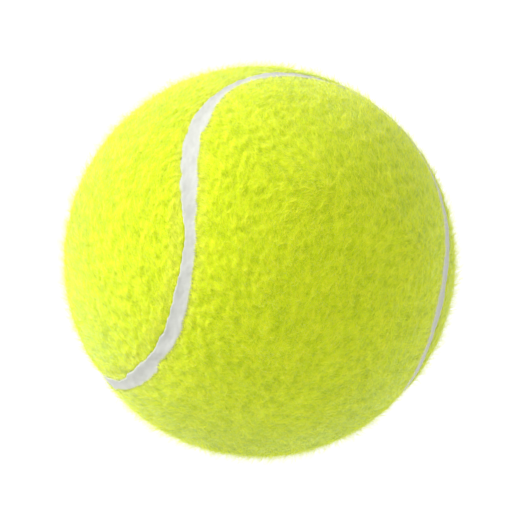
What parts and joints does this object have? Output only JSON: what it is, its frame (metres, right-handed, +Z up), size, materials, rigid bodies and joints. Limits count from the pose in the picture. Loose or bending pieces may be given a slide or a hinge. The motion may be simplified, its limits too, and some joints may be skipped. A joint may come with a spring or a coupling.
{
  "type": "tennis ball",
  "caption": "Hollow rubber ball covered with two dumbbell-shaped felt panels that meet at one endless curved white rubber seam.",
  "frame": {"origin": "centre of the ball", "axes": "+Z up; +Y along the seam's axis, about which a quarter turn and a reflection bring the seam back, pointing out of the middle of panel a's waist; a lobe of panel b points up and leans 25.3 degrees towards +X"},
  "size_m": [0.0666, 0.0666, 0.0666],
  "materials": {
    "core_rubber": "matte moulded",
    "cement": "satin",
    "felt": "brushed nap",
    "seam": "matte"
  },
  "bodies": {
    "root": {"core_half_back": "core_rubber", "core_half_front": "core_rubber", "core_cement_ring": "cement", "panel_cement_a": "cement", "panel_cement_b": "cement", "felt_panel_a": "felt", "felt_panel_b": "felt", "seam_rubber": "seam"}
  },
  "joints": []
}
